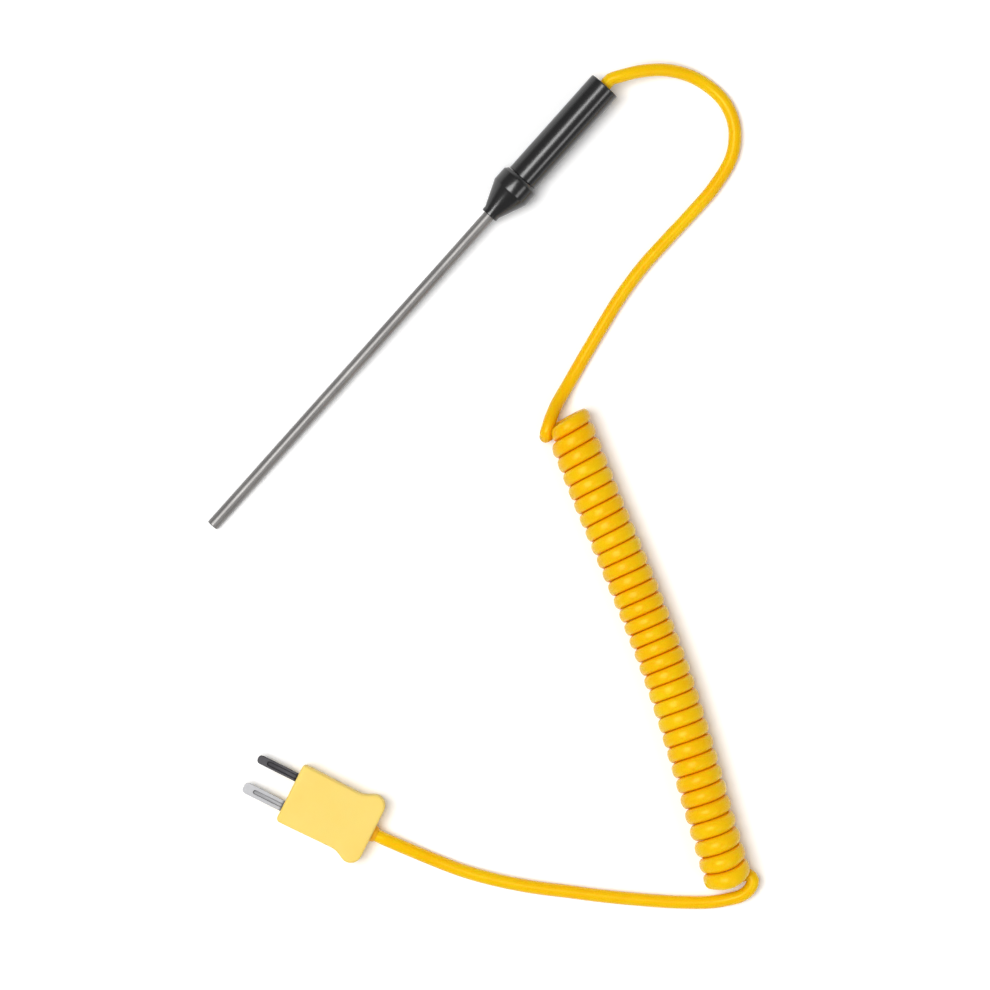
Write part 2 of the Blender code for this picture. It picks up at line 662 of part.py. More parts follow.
def housing_tools(name, plug):
    """Tools that both halves share: blade seats, terminal bores and the way of the cord."""
    low = HALF_T - BLADE_T / 2 - FINE_GAP
    high = HALF_T + BLADE_T / 2 + FINE_GAP
    tools = []
    for pole, side, width in poles():
        seat = blade_outline(width, side * BLADE_SPACING / 2, FINE_GAP, SEAT_GAP)
        tools.append(slab(f"{name}_seat_{pole}", seat, low, high, plug, None))
    cord_hole = [
        (CAVITY_REAR + SEAT_GAP, 0.0, 0.0),
        (CAVITY_REAR + SEAT_GAP, CORD_R + FINE_GAP, 0.0),
        (-PLUG_LENGTH + GROMMET_DEPTH + FINE_GAP, CORD_R + FINE_GAP, 0.0),
        (-PLUG_LENGTH + GROMMET_DEPTH + FINE_GAP, GROMMET_R + FINE_GAP, 0.0),
        (-PLUG_LENGTH - SEAT_GAP, GROMMET_R + FINE_GAP, 0.0),
        (-PLUG_LENGTH - SEAT_GAP, 0.0, 0.0),
    ]
    tools.append(turned(f"{name}_cord_way", cord_hole, plug, None, (0.0, 0.0, HALF_T), SMALL_STEPS))
    return tools


def make_plug_base(plug, finish):
    top = HALF_T - PARTING_GAP / 2
    base = slab("plug_base", plug_outline(), 0.0, top, plug, finish, rim=0.0, rim_radius=RIM_R)
    tools = housing_tools("base", plug)
    channel = cavity_outline(CHANNEL_HALF)
    tools.append(slab("base_channel", channel, FLOOR_WALL, HALF_T, plug, None))
    head_top = HOUSING_HEAD_SUNK + HOUSING_HEAD_H + FINE_GAP
    screw_way = [
        (-SEAT_GAP, 0.0, 0.0),
        (-SEAT_GAP, HOUSING_HEAD_R + FINE_GAP, 0.0),
        (head_top, HOUSING_HEAD_R + FINE_GAP, 0.0),
        (head_top, HOUSING_SHANK_R + FINE_GAP, 0.0),
        (HALF_T, HOUSING_SHANK_R + FINE_GAP, 0.0),
        (HALF_T, 0.0, 0.0),
    ]
    bore_low = HALF_T - BLADE_T / 2 - TERMINAL_DEPTH - SEAT_GAP
    bore = rod_profile(bore_low, HALF_T, TERMINAL_SHANK_R + FINE_GAP)
    for pole, side, width in poles():
        ear = (EAR_X, side * EAR_Y, 0.0)
        terminal = (TERMINAL_X, side * BLADE_SPACING / 2, 0.0)
        tools.append(turned(f"base_screw_way_{pole}", screw_way, plug, None, ear, SMALL_STEPS, upright=True))
        tools.append(turned(f"base_bore_{pole}", bore, plug, None, terminal, SMALL_STEPS, upright=True))
    cut(base, tools)


def make_plug_cover(plug, finish):
    low = HALF_T + PARTING_GAP / 2
    cover = slab("plug_cover", plug_outline(), low, PLUG_T, plug, finish, rim=PLUG_T, rim_radius=RIM_R)
    tools = housing_tools("cover", plug)
    room = cavity_outline(CAVITY_HALF)
    tools.append(slab("cover_room", room, HALF_T, ROOF_Z, plug, None))
    blind = rod_profile(HALF_T, ROOF_Z, HOUSING_SHANK_R + FINE_GAP)
    for pole, side, width in poles():
        ear = (EAR_X, side * EAR_Y, 0.0)
        tools.append(turned(f"cover_bore_{pole}", blind, plug, None, ear, SMALL_STEPS, upright=True))
    cut(cover, tools)


def make_housing_screws(plug, finish):
    head_top = HOUSING_HEAD_SUNK + HOUSING_HEAD_H
    end = ROOF_Z - SEAT_GAP
    profile = [
        (HOUSING_HEAD_SUNK, 0.0, 0.0),
        (HOUSING_HEAD_SUNK, HOUSING_HEAD_R, HOUSING_HEAD_EDGE),
        (head_top, HOUSING_HEAD_R, 0.0),
        (head_top, HOUSING_SHANK_R, 0.0),
        (end, HOUSING_SHANK_R, FINE_GAP),
        (end, 0.0, 0.0),
    ]
    for pole, side, width in poles():
        place = (EAR_X, side * EAR_Y, 0.0)
        name = f"housing_screw_{pole}"
        screw = turned(name, profile, plug, finish, place, SMALL_STEPS, upright=True)
        cross = []
        arms = ((CROSS_REACH, SLOT_WIDTH / 2), (SLOT_WIDTH / 2, CROSS_REACH))
        for index, (wide, deep) in enumerate(arms):
            outline = box_outline(place[0] - wide, place[0] + wide, place[1] - deep, place[1] + deep)
            top = HOUSING_HEAD_SUNK + SLOT_DEPTH
            cross.append(slab(f"{name}_slot_{index}", outline, 0.0, top, plug, None))
        cut(screw, cross)


def make_cord_end_in_plug(plug, jacket, grommet_finish):
    middle = (0.0, 0.0, HALF_T)
    outside = -PLUG_LENGTH - GROMMET_PROUD
    start = CAVITY_REAR - SEAT_GAP - FINE_GAP
    turned("cord_end_plug", rod_profile(outside, start, CORD_R), plug, jacket, middle, RING_STEPS)
    inside = -PLUG_LENGTH + GROMMET_DEPTH
    profile = ring_profile(outside, inside, CORD_R + FINE_GAP, GROMMET_R, FINE_GAP)
    turned("cord_grommet", profile, plug, grommet_finish, middle, RING_STEPS)


def on_table(route):
    return [Vector((x, y, height)) * MM + Vector((0.0, 0.0, CORD_LIFT)) for x, y, height in route]


def make_cord(jacket):
    coil_points = [Vector((x * MM, y * MM, COIL_R + CORD_LIFT)) for x, y in COIL_ROUTE]
    coil = smooth_route(coil_points, COIL_STEP)
    tube("cord_coil", coil, COIL_R, None, jacket, resolution=COIL_RESOLUTION)
    rim = COIL_R - CORD_R
    first = (coil[1] - coil[0]).normalized()
    last = (coil[-1] - coil[-2]).normalized()
    left = Vector((first.y, -first.x, 0.0))
    right = Vector((-last.y, last.x, 0.0))
    plug_rear = -PLUG_LENGTH - GROMMET_PROUD
    ends = {
        "cord_lead": [
            [probe_point(HANDLE_REAR + gap) for gap in CORD_ENDS],
            [coil[0] + left * rim - first * gap for gap in CORD_ENDS],
        ],
        "cord_tail": [
            [coil[-1] + right * rim + last * gap for gap in CORD_ENDS],
            [plug_point(plug_rear - gap, HALF_T) for gap in CORD_ENDS],
        ],
    }
    for name, route in (("cord_lead", LEAD_ROUTE), ("cord_tail", TAIL_ROUTE)):
        (start, leave), (end, approach) = ends[name]
        path = smooth_route([leave, *on_table(route), approach], CORD_STEP)
        tube(name, [start, *path, end], CORD_R, None, jacket)


def main():
    clear_scene()
    steel = material("steel", (0.55, 0.54, 0.54), 0.28, 1.0)
    mineral = material("mineral", (0.85, 0.84, 0.80), 0.8)
    sealant = material("sealant", (0.30, 0.12, 0.05), 0.5)
    alloy_positive = material("alloy_positive", (0.50, 0.48, 0.44), 0.35, 1.0)
    alloy_negative = material("alloy_negative", (0.60, 0.58, 0.54), 0.35, 1.0)
    black = material("black_gloss", (0.02, 0.02, 0.022), 0.22)
    brass = material("brass", (0.78, 0.58, 0.28), 0.3, 1.0)
    tinned = material("tinned", (0.70, 0.70, 0.70), 0.35, 1.0)
    sleeving = material("sleeving", (0.05, 0.05, 0.05), 0.6)
    jacket = material("yellow_jacket", (0.96, 0.58, 0.02), 0.3)
    wire_colours = {
        "positive": material("yellow_insulation", (0.90, 0.70, 0.08), 0.45),
        "negative": material("red_insulation", (0.65, 0.05, 0.04), 0.45),
    }
    moulding = material("yellow_moulding", (0.98, 0.72, 0.20), 0.5)
    grommet = material("amber_rubber", (0.85, 0.45, 0.03), 0.6)

    probe = frame("probe_axis", (PROBE_X, 0.0, PROBE_Z), tilt=TILT)
    make_sheath(probe, steel)
    make_insulation(probe, mineral, sealant)
    make_wires(probe, alloy_positive, alloy_negative)
    make_nose(probe, black)
    make_ferrule(probe, brass)
    make_handle(probe, black)
    make_splices(probe, tinned, sleeving)
    make_conductors(probe, wire_colours)
    make_cord_end_in_handle(probe, jacket, tinned)

    plug = frame("plug_axis", (*PLUG_AT, 0.0), heading=PLUG_HEADING)
    make_plug_base(plug, moulding)
    make_plug_cover(plug, moulding)
    make_blades(plug, tinned)
    make_terminals(plug, brass, tinned)
    make_plug_conductors(plug, wire_colours)
    make_housing_screws(plug, steel)
    make_cord_end_in_plug(plug, jacket, grommet)

    make_cord(jacket)


main()
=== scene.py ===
"""Looks of the thermocouple probe: its finishes, its curly cord and a plain white studio.

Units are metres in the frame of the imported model, with the table at z = 0. The order is: values, smooth
lines, the coil, camera and light, floor, finishes, pieces, and at the end the scene itself.
"""

import json
import math

import bmesh
import bpy
from mathutils import Matrix, Vector


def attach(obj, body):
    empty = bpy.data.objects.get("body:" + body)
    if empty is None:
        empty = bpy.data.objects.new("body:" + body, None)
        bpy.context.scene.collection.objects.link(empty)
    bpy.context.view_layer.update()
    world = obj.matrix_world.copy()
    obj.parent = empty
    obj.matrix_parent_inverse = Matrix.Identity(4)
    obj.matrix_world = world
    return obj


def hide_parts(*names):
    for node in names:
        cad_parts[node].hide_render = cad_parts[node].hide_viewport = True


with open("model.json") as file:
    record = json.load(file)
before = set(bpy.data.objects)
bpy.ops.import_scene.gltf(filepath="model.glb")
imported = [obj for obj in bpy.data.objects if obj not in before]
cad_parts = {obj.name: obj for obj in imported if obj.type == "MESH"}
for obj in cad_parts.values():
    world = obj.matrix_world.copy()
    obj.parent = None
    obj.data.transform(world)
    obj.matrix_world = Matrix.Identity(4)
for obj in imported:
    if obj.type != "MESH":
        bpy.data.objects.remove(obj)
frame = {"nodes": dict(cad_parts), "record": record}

bpy.context.view_layer.update()

MM = 0.001

# The photograph: its middle in the row frame, its width there, and how it is turned
VIEW_MIDDLE = Vector((-22.49 * MM, -51.49 * MM, 5.0 * MM))
VIEW_WIDTH = 267.3 * MM
VIEW_TURN = math.radians(-48.193)
LENS = 200.0
SENSOR = 36.0
RIGHT = Vector((math.cos(VIEW_TURN), math.sin(VIEW_TURN), 0.0))
UP = Vector((-math.sin(VIEW_TURN), math.cos(VIEW_TURN), 0.0))

# Light, where a level of 1 lights a flat white sheet to white. Each lamp leans from the vertical, comes
# from a direction in the picture (right, up) and is as wide and long as its angles, seen from the part
LAMP_DISTANCE = 2.5
KEY_LEVEL = 0.75
KEY_LEAN = math.radians(17)
KEY_FROM = (-1.0, -0.02)
KEY_WIDTH = math.radians(31)
KEY_LENGTH = math.radians(29)
FILL_LEVEL = 0.09
FILL_LEAN = math.radians(46)
FILL_FROM = (0.745, -0.667)
FILL_WIDTH = math.radians(14)
FILL_LENGTH = math.radians(24)
ROOM_LEVEL = 0.27

# The floor: how much light it gives back to the part, how much more the camera sees, where that fades to
# plain white, and its profile as radius and height
FLOOR_SHARE = 0.88
FLOOR_SHOWN = 0.26
FLOOR_FADE = (0.26, 0.80)
FLOOR_STEPS = 96
FLOOR_PROFILE = [(3.0, 0.0), (5.0, 0.0), (5.5, 0.06), (5.9, 0.25), (6.1, 0.6), (6.2, 1.2)]

# Finishes: the share of open sky between which a recess gets painted shade, and the span that the noise fills
WHITE = (1.0, 1.0, 1.0, 1.0)
DRIFT_DETAIL = 3.0
GRAIN_DETAIL = 4.0
RECESS_SAMPLES = 8
RECESS_RANGE = (0.55, 0.97)
NOISE_LOW = 0.3
NOISE_HIGH = 0.7

# The cord, which follows the CAD model's route closely, with x, y and height of each point in millimetres
CORD_R = 1.75 * MM
CORD_LIFT = 0.02 * MM
CORD_STEP = 1.0 * MM
CORD_STRAIGHT = 2.2 * MM
CORD_SIDES = 28
CORD_EXIT = Vector((79.5725, 0.0, 6.8002)) * MM
CORD_OUTWARDS = Vector((0.9994657, 0.0, 0.0326862))
CORD_ENTRY = Vector((-112.5116, -88.2676, 3.86)) * MM
CORD_INWARDS = Vector((-0.2621892, 0.9650165, 0.0))
LEAD_ROUTE = [
    (84.2, -1.4, 7.1), (88.8, -4.5, 6.3), (93.5, -9.0, 4.6), (96.6, -14.0, 3.0), (98.3, -20.0, 1.9),
    (98.1, -27.0, 1.75), (95.0, -33.3, 1.75), (88.6, -38.1, 1.75), (79.0, -40.1, 1.75),
    (69.3, -40.3, 1.75), (59.6, -40.1, 1.75), (49.9, -40.1, 1.75), (40.2, -41.0, 1.75),
    (30.6, -42.7, 1.75), (21.1, -44.6, 1.75), (13.0, -46.3, 2.3), (6.9, -47.6, 4.2), (2.3, -49.2, 6.6),
]
TAIL_ROUTE = [
    (-54.9, -169.7, 2.6), (-53.3, -171.0, 3.6), (-53.6, -172.8, 3.8), (-56.2, -173.8, 3.3),
    (-59.2, -173.2, 2.5), (-62.0, -171.4, 2.0), (-65.8, -168.3, 1.75), (-72.2, -161.1, 1.75),
    (-78.1, -153.5, 1.75), (-83.9, -145.6, 1.75), (-89.4, -137.6, 1.75), (-94.9, -129.6, 1.75),
    (-99.9, -121.2, 1.75), (-104.2, -112.5, 1.75), (-107.6, -103.5, 1.95), (-110.4, -95.2, 3.1),
]

# The coil: its middle line over the table, and for some turns how far along and out the cord lies,
# how far the turn's top leans ahead of its underside, and its right side ahead of its left one
COIL_ROUTE = [
    (4.97, -53.13), (3.6, -55.8), (-5.0, -72.8), (-12.7, -88.8), (-20.4, -104.5), (-28.5, -119.8),
    (-37.2, -134.5), (-46.2, -148.9), (-56.6, -165.5), (-58.25, -168.0),
]
COIL_LEAD_IN = 3.0 * MM
COIL_AXIS_HEIGHT = 6.5 * MM
TURN_POINTS = 24
COIL_KEYS = [
    (0.50, -1.75, 6.70, 0.0, 0.0), (0.75, -2.90, 4.75, 0.0, -0.2), (1.00, -3.15, 4.75, 0.0, -0.30),
    (1.25, -2.25, 4.75, 0.0, -0.30), (1.50, -1.30, 3.60, 0.0, -0.25), (1.75, 0.05, 4.75, 0.0, -0.15),
    (2.00, 0.85, 4.75, 0.0, -0.10), (2.25, 1.85, 4.75, 0.0, -0.05), (3.25, 6.22, 4.75, 0.0, 0.0),
    (4.25, 10.42, 4.75, 0.0, 0.1), (5.25, 14.43, 4.75, 0.0, 0.15), (8.25, 26.45, 4.75, 0.0, 0.2),
    (11.25, 38.60, 4.75, 0.0, 0.45), (14.25, 50.50, 4.75, 0.0, 0.45), (17.25, 62.10, 4.75, 0.0, 0.4),
    (20.25, 73.90, 4.75, 0.0, 0.45), (23.25, 86.50, 4.75, 0.0, 0.45), (26.25, 99.30, 4.75, 0.1, 0.45),
    (29.25, 112.45, 4.75, 0.35, 0.5), (30.25, 117.15, 4.75, 0.45, 0.5), (31.25, 121.70, 4.75, 0.8, 0.45),
    (32.00, 124.90, 4.75, 1.2, 0.3), (32.25, 126.00, 4.75, 1.45, 0.3), (32.50, 127.00, 4.75, 0.8, 0.3),
    (32.75, 127.55, 4.75, 0.0, 0.0), (32.80, 127.60, 4.75, 0.0, 0.0),
]

# The cord's section in the coil: the turns press on each other, so it is squarer and wider there. The power
# is that of a rounded square, where 2 is an oval, and the eases are turns at the coil's ends
TURN_GAP = 0.03 * MM
WIDEST_HALF = 2.6 * MM
ROUND_POWER = 2.0
SQUARE_POWER = 3.0
SOFT_POWER = 2.0
SQUARE_HALF = 2.0 * MM
SOFT_HALF = 2.22 * MM
START_EASE = 0.5
END_EASE = 0.30

# The material slot of each solid of the imported model
SLOT_OF = {part["node"]: part["material_slot"] for part in frame["record"]["subparts"]}

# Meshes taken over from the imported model
WELD = 0.001 * MM
FLAT_ANGLE = math.radians(0.4)
SHARP_ANGLE = math.radians(32)
CAP_ANGLE = math.radians(70)
EDGE_PIECES = 2

# The housing's wide faces: which way each looks, and how far its outline is rounded in millimetres
CROWNED = {"plug_cover": (1, 0.9), "plug_base": (-1, 0.5)}
OUTLINE_PIECES = 5
OUTLINE_REACH = 5 * WELD
LEVEL = 0.99

# The cord's ring at the plug: distance behind the plug's front and radius, round its section
GROMMET_SIDES = 40
GROMMET_FRONT = (-119.2, -63.65, 3.86)
GROMMET_PROFILE = [
    (22.05, 1.80), (22.0, 2.48), (25.0, 2.50), (25.12, 2.38), (25.5, 2.20), (26.0, 2.06), (26.12, 2.00),
    (26.15, 1.92), (26.08, 1.84), (25.9, 1.80),
]


def to_table(points):
    """Route points in millimetres as points in metres, lifted a hair off the table."""
    return [Vector((x, y, z)) * MM + Vector((0.0, 0.0, CORD_LIFT)) for x, y, z in points]


def between(p0, p1, p2, p3, share):
    """A point between p1 and p2 on the smooth curve that also passes through p0 and p3."""
    knots = [0.0]
    for a, b in ((p0, p1), (p1, p2), (p2, p3)):
        knots.append(knots[-1] + max((b - a).length, WELD) ** 0.5)
    t0, t1, t2, t3 = knots
    t = t1 + (t2 - t1) * share

    def blend(a, b, low, high):
        return a * ((high - t) / (high - low)) + b * ((t - low) / (high - low))

    first, middle, last = blend(p0, p1, t0, t1), blend(p1, p2, t1, t2), blend(p2, p3, t2, t3)
    return blend(blend(first, middle, t0, t2), blend(middle, last, t1, t3), t1, t2)


def smooth_route(points, step, before=None, after=None):
    """Points about a step apart along one smooth curve through the given points."""
    padded = [before or points[0] * 2 - points[1], *points, after or points[-1] * 2 - points[-2]]
    route = []
    for p0, p1, p2, p3 in zip(padded, padded[1:], padded[2:], padded[3:]):
        pieces = max(1, round((p2 - p1).length / step))
        route += [between(p0, p1, p2, p3, piece / pieces) for piece in range(pieces)]
    return [*route, points[-1]]


def smooth_value(keys, at, column):
    """The value of a column of the keys at a turn, on a smooth curve through them."""
    low = max(index for index, key in enumerate(keys[:-1]) if key[0] <= at)
    start, end = keys[low], keys[low + 1]
    before, after = keys[max(low - 1, 0)], keys[min(low + 2, len(keys) - 1)]
    span = end[0] - start[0]
    share = (at - start[0]) / span
    slope_in = (end[column] - before[column]) / (end[0] - before[0]) * span
    slope_out = (after[column] - start[column]) / (after[0] - start[0]) * span
    square, cube = share**2, share**3
    return (
        (2 * cube - 3 * square + 1) * start[column] + (cube - 2 * square + share) * slope_in
        + (3 * square - 2 * cube) * end[column] + (cube - square) * slope_out
    )


def coil_points():
    """The helix of the curly cord round the coil's middle line, with its turn at each point."""
    axis = smooth_route([Vector((x, y, 0.0)) * MM for x, y in COIL_ROUTE], CORD_STEP)
    travelled = [-COIL_LEAD_IN]
    for a, b in zip(axis, axis[1:]):
        travelled.append(travelled[-1] + (b - a).length)
    points, turns = [], []
    first, last = COIL_KEYS[0][0], COIL_KEYS[-1][0]
    count = round((last - first) * TURN_POINTS)
    for index in range(count + 1):
        turn = first + (last - first) * index / count
        angle = math.tau * turn
        along, radius, lean, skew = (
            smooth_value(COIL_KEYS, turn, column) * MM for column in (1, 2, 3, 4)
        )
        along += lean * math.sin(angle) + skew * math.cos(angle)
        last_stretch = len(axis) - 2
        place = next(i for i, length in enumerate(travelled[1:]) if length >= along or i == last_stretch)
        ahead = (axis[place + 1] - axis[place]).normalized()
        centre = axis[place] + ahead * (along - travelled[place])
        side = Vector((-ahead.y, ahead.x, 0.0))
        height = max(COIL_AXIS_HEIGHT + CORD_LIFT + radius * math.sin(angle), CORD_R + CORD_LIFT)
        points.append(centre + side * radius * math.cos(angle) + Vector((0.0, 0.0, height)))
        turns.append(turn)
    return points, turns


def eased(share):
    return share * share * (3 - 2 * share)


def coil_sections(points, turns):
    """How far the cord reaches back and ahead along the coil at each point, and which way ahead is.

    Each turn reaches halfway to the turns beside it, and is round where the coil starts and ends.
    """
    sections = []
    for index, point in enumerate(points):
        before, after = points[max(index - 1, 0)], points[min(index + 1, len(points) - 1)]
        tangent = (after - before).normalized()
        reaches, ways = [], []
        for step in (-TURN_POINTS, TURN_POINTS):
            if 0 <= index + step < len(points):
                apart = points[index + step] - point
                apart -= tangent * apart.dot(tangent)
                reaches.append(min(apart.length / 2 - TURN_GAP, WIDEST_HALF))
                ways.append(apart.normalized() * (1 if step > 0 else -1))
            else:
                reaches.append(None)
        back = CORD_R if reaches[0] is None else reaches[0]
        ahead = back if reaches[1] is None else reaches[1]
        opening = min(1.0, (turns[index] - turns[0]) / START_EASE)
        closing = min(1.0, (turns[-1] - turns[index]) / END_EASE)
        share = eased(opening) * eased(closing)
        back, ahead = (CORD_R + (reach - CORD_R) * share for reach in (back, ahead))
        sections.append((back, ahead, sum(ways, Vector()).normalized()))
    return sections


# Camera, light and floor


def bare_object(name, data):
    made = bpy.data.objects.new(name, data)
    bpy.context.scene.collection.objects.link(made)
    return made


def make_camera():
    """The photograph's camera, straight above the part."""
    camera = bare_object("camera", bpy.data.cameras.new("camera"))
    camera.data.lens = LENS
    camera.data.sensor_width = SENSOR
    camera.location = VIEW_MIDDLE + Vector((0.0, 0.0, VIEW_WIDTH * LENS / SENSOR))
    camera.rotation_euler = (0.0, 0.0, VIEW_TURN)
    bpy.context.scene.camera = camera


def make_softbox(name, level, lean, image_from, width, length):
    """A soft light of the given level that leans from the vertical, towards a direction in the picture."""
    sideways = (RIGHT * image_from[0] + UP * image_from[1]).normalized()
    towards = sideways * math.sin(lean) + Vector((0.0, 0.0, math.cos(lean)))
    lamp = bpy.data.lights.new(name, "AREA")
    lamp.shape = "RECTANGLE"
    lamp.size = 2 * LAMP_DISTANCE * math.tan(length / 2)
    lamp.size_y = 2 * LAMP_DISTANCE * math.tan(width / 2)
    lamp.energy = level * (math.pi * LAMP_DISTANCE) ** 2 / math.cos(lean)
    softbox = bare_object(name, lamp)
    softbox.visible_camera = False
    along = Vector((0.0, 0.0, 1.0)).cross(sideways)
    across = towards.cross(along)
    softbox.matrix_world = Matrix.Translation(VIEW_MIDDLE + towards * LAMP_DISTANCE) @ Matrix(
        (along, across, towards)
    ).transposed().to_4x4()


def make_room():
    """Even light from all round."""
    world = bpy.data.worlds.new("room")
    bpy.context.scene.world = world
    world.use_nodes = True
    world.node_tree.nodes["Background"].inputs["Color"].default_value = WHITE
    world.node_tree.nodes["Background"].inputs["Strength"].default_value = ROOM_LEVEL


def floor_mesh():
    """A wide round sheet that bends up far away from the part."""
    mesh = bmesh.new()
    rings = []
    for radius, height in FLOOR_PROFILE:
        ring = []
        for step in range(FLOOR_STEPS):
            angle = math.tau * step / FLOOR_STEPS
            ring.append(mesh.verts.new((radius * math.cos(angle), radius * math.sin(angle), height)))
        rings.append(ring)
    mesh.faces.new(rings[0])
    for inner, outer in zip(rings, rings[1:]):
        for step in range(FLOOR_STEPS):
            following = (step + 1) % FLOOR_STEPS
            mesh.faces.new((inner[step], outer[step], outer[following], inner[following]))
    data = bpy.data.meshes.new("studio_floor")
    mesh.to_mesh(data)
    mesh.free()
    return data


def floor_material():
    """White that the camera and mirror-like surfaces see lighter, so that only the shadow is left."""
    material = bpy.data.materials.new("studio_white")
    material.use_nodes = True
    nodes, links = material.node_tree.nodes, material.node_tree.links
    nodes.clear()
    path = nodes.new("ShaderNodeLightPath")
    seen = nodes.new("ShaderNodeMath")
    seen.operation = "MAXIMUM"
    links.new(path.outputs["Is Camera Ray"], seen.inputs[0])
    links.new(path.outputs["Is Glossy Ray"], seen.inputs[1])
    seen_all = nodes.new("ShaderNodeMath")
    seen_all.operation = "MAXIMUM"
    links.new(seen.outputs[0], seen_all.inputs[0])
    links.new(path.outputs["Is Transmission Ray"], seen_all.inputs[1])
    matt = nodes.new("ShaderNodeBsdfDiffuse")
    matt.inputs["Color"].default_value = (FLOOR_SHARE, FLOOR_SHARE, FLOOR_SHARE, 1.0)
    lift = nodes.new("ShaderNodeBsdfDiffuse")
    lift.inputs["Color"].default_value = (FLOOR_SHOWN, FLOOR_SHOWN, FLOOR_SHOWN, 1.0)
    near = nodes.new("ShaderNodeAddShader")
    links.new(matt.outputs[0], near.inputs[0])
    links.new(lift.outputs[0], near.inputs[1])
    reach = nodes.new("ShaderNodeVectorMath")
    reach.operation = "LENGTH"
    links.new(nodes.new("ShaderNodeTexCoord").outputs["Object"], reach.inputs[0])
    fade = nodes.new("ShaderNodeMapRange")
    fade.interpolation_type = "SMOOTHSTEP"
    fade.inputs["From Min"].default_value, fade.inputs["From Max"].default_value = FLOOR_FADE
    links.new(reach.outputs["Value"], fade.inputs["Value"])
    white = nodes.new("ShaderNodeEmission")
    shown = nodes.new("ShaderNodeMixShader")
    links.new(fade.outputs[0], shown.inputs["Fac"])
    links.new(near.outputs[0], shown.inputs[1])
    links.new(white.outputs[0], shown.inputs[2])
    mixed = nodes.new("ShaderNodeMixShader")
    links.new(seen_all.outputs[0], mixed.inputs["Fac"])
    links.new(matt.outputs[0], mixed.inputs[1])
    links.new(shown.outputs[0], mixed.inputs[2])
    output = nodes.new("ShaderNodeOutputMaterial")
    links.new(mixed.outputs[0], output.inputs["Surface"])
    return material


def make_floor():
    """The table under the part, which carries its shadow."""
    floor = bare_object("studio_floor", floor_mesh())
    floor.location = (VIEW_MIDDLE.x, VIEW_MIDDLE.y, 0.0)
    floor.data.materials.append(floor_material())


# Finishes


def linear(colour):
    """A screen colour, written as 0 to 255 per channel, as the shader's sockets take it."""
    shares = [channel / 255 for channel in colour]
    return (*[s / 12.92 if s <= 0.04045 else ((s + 0.055) / 1.055) ** 2.4 for s in shares], 1.0)


def colour_mix(nodes, links, first, second, factor, blend="MIX"):
    """Two colours mixed, where each colour and the factor is a value or the output of another node."""
    mix = nodes.new("ShaderNodeMix")
    mix.data_type = "RGBA"
    mix.blend_type = blend
    for socket, value in (("A", first), ("B", second), ("Factor", factor)):
        if isinstance(value, bpy.types.NodeSocket):
            links.new(value, mix.inputs[socket])
        else:
            mix.inputs[socket].default_value = value
    return mix.outputs["Result"]


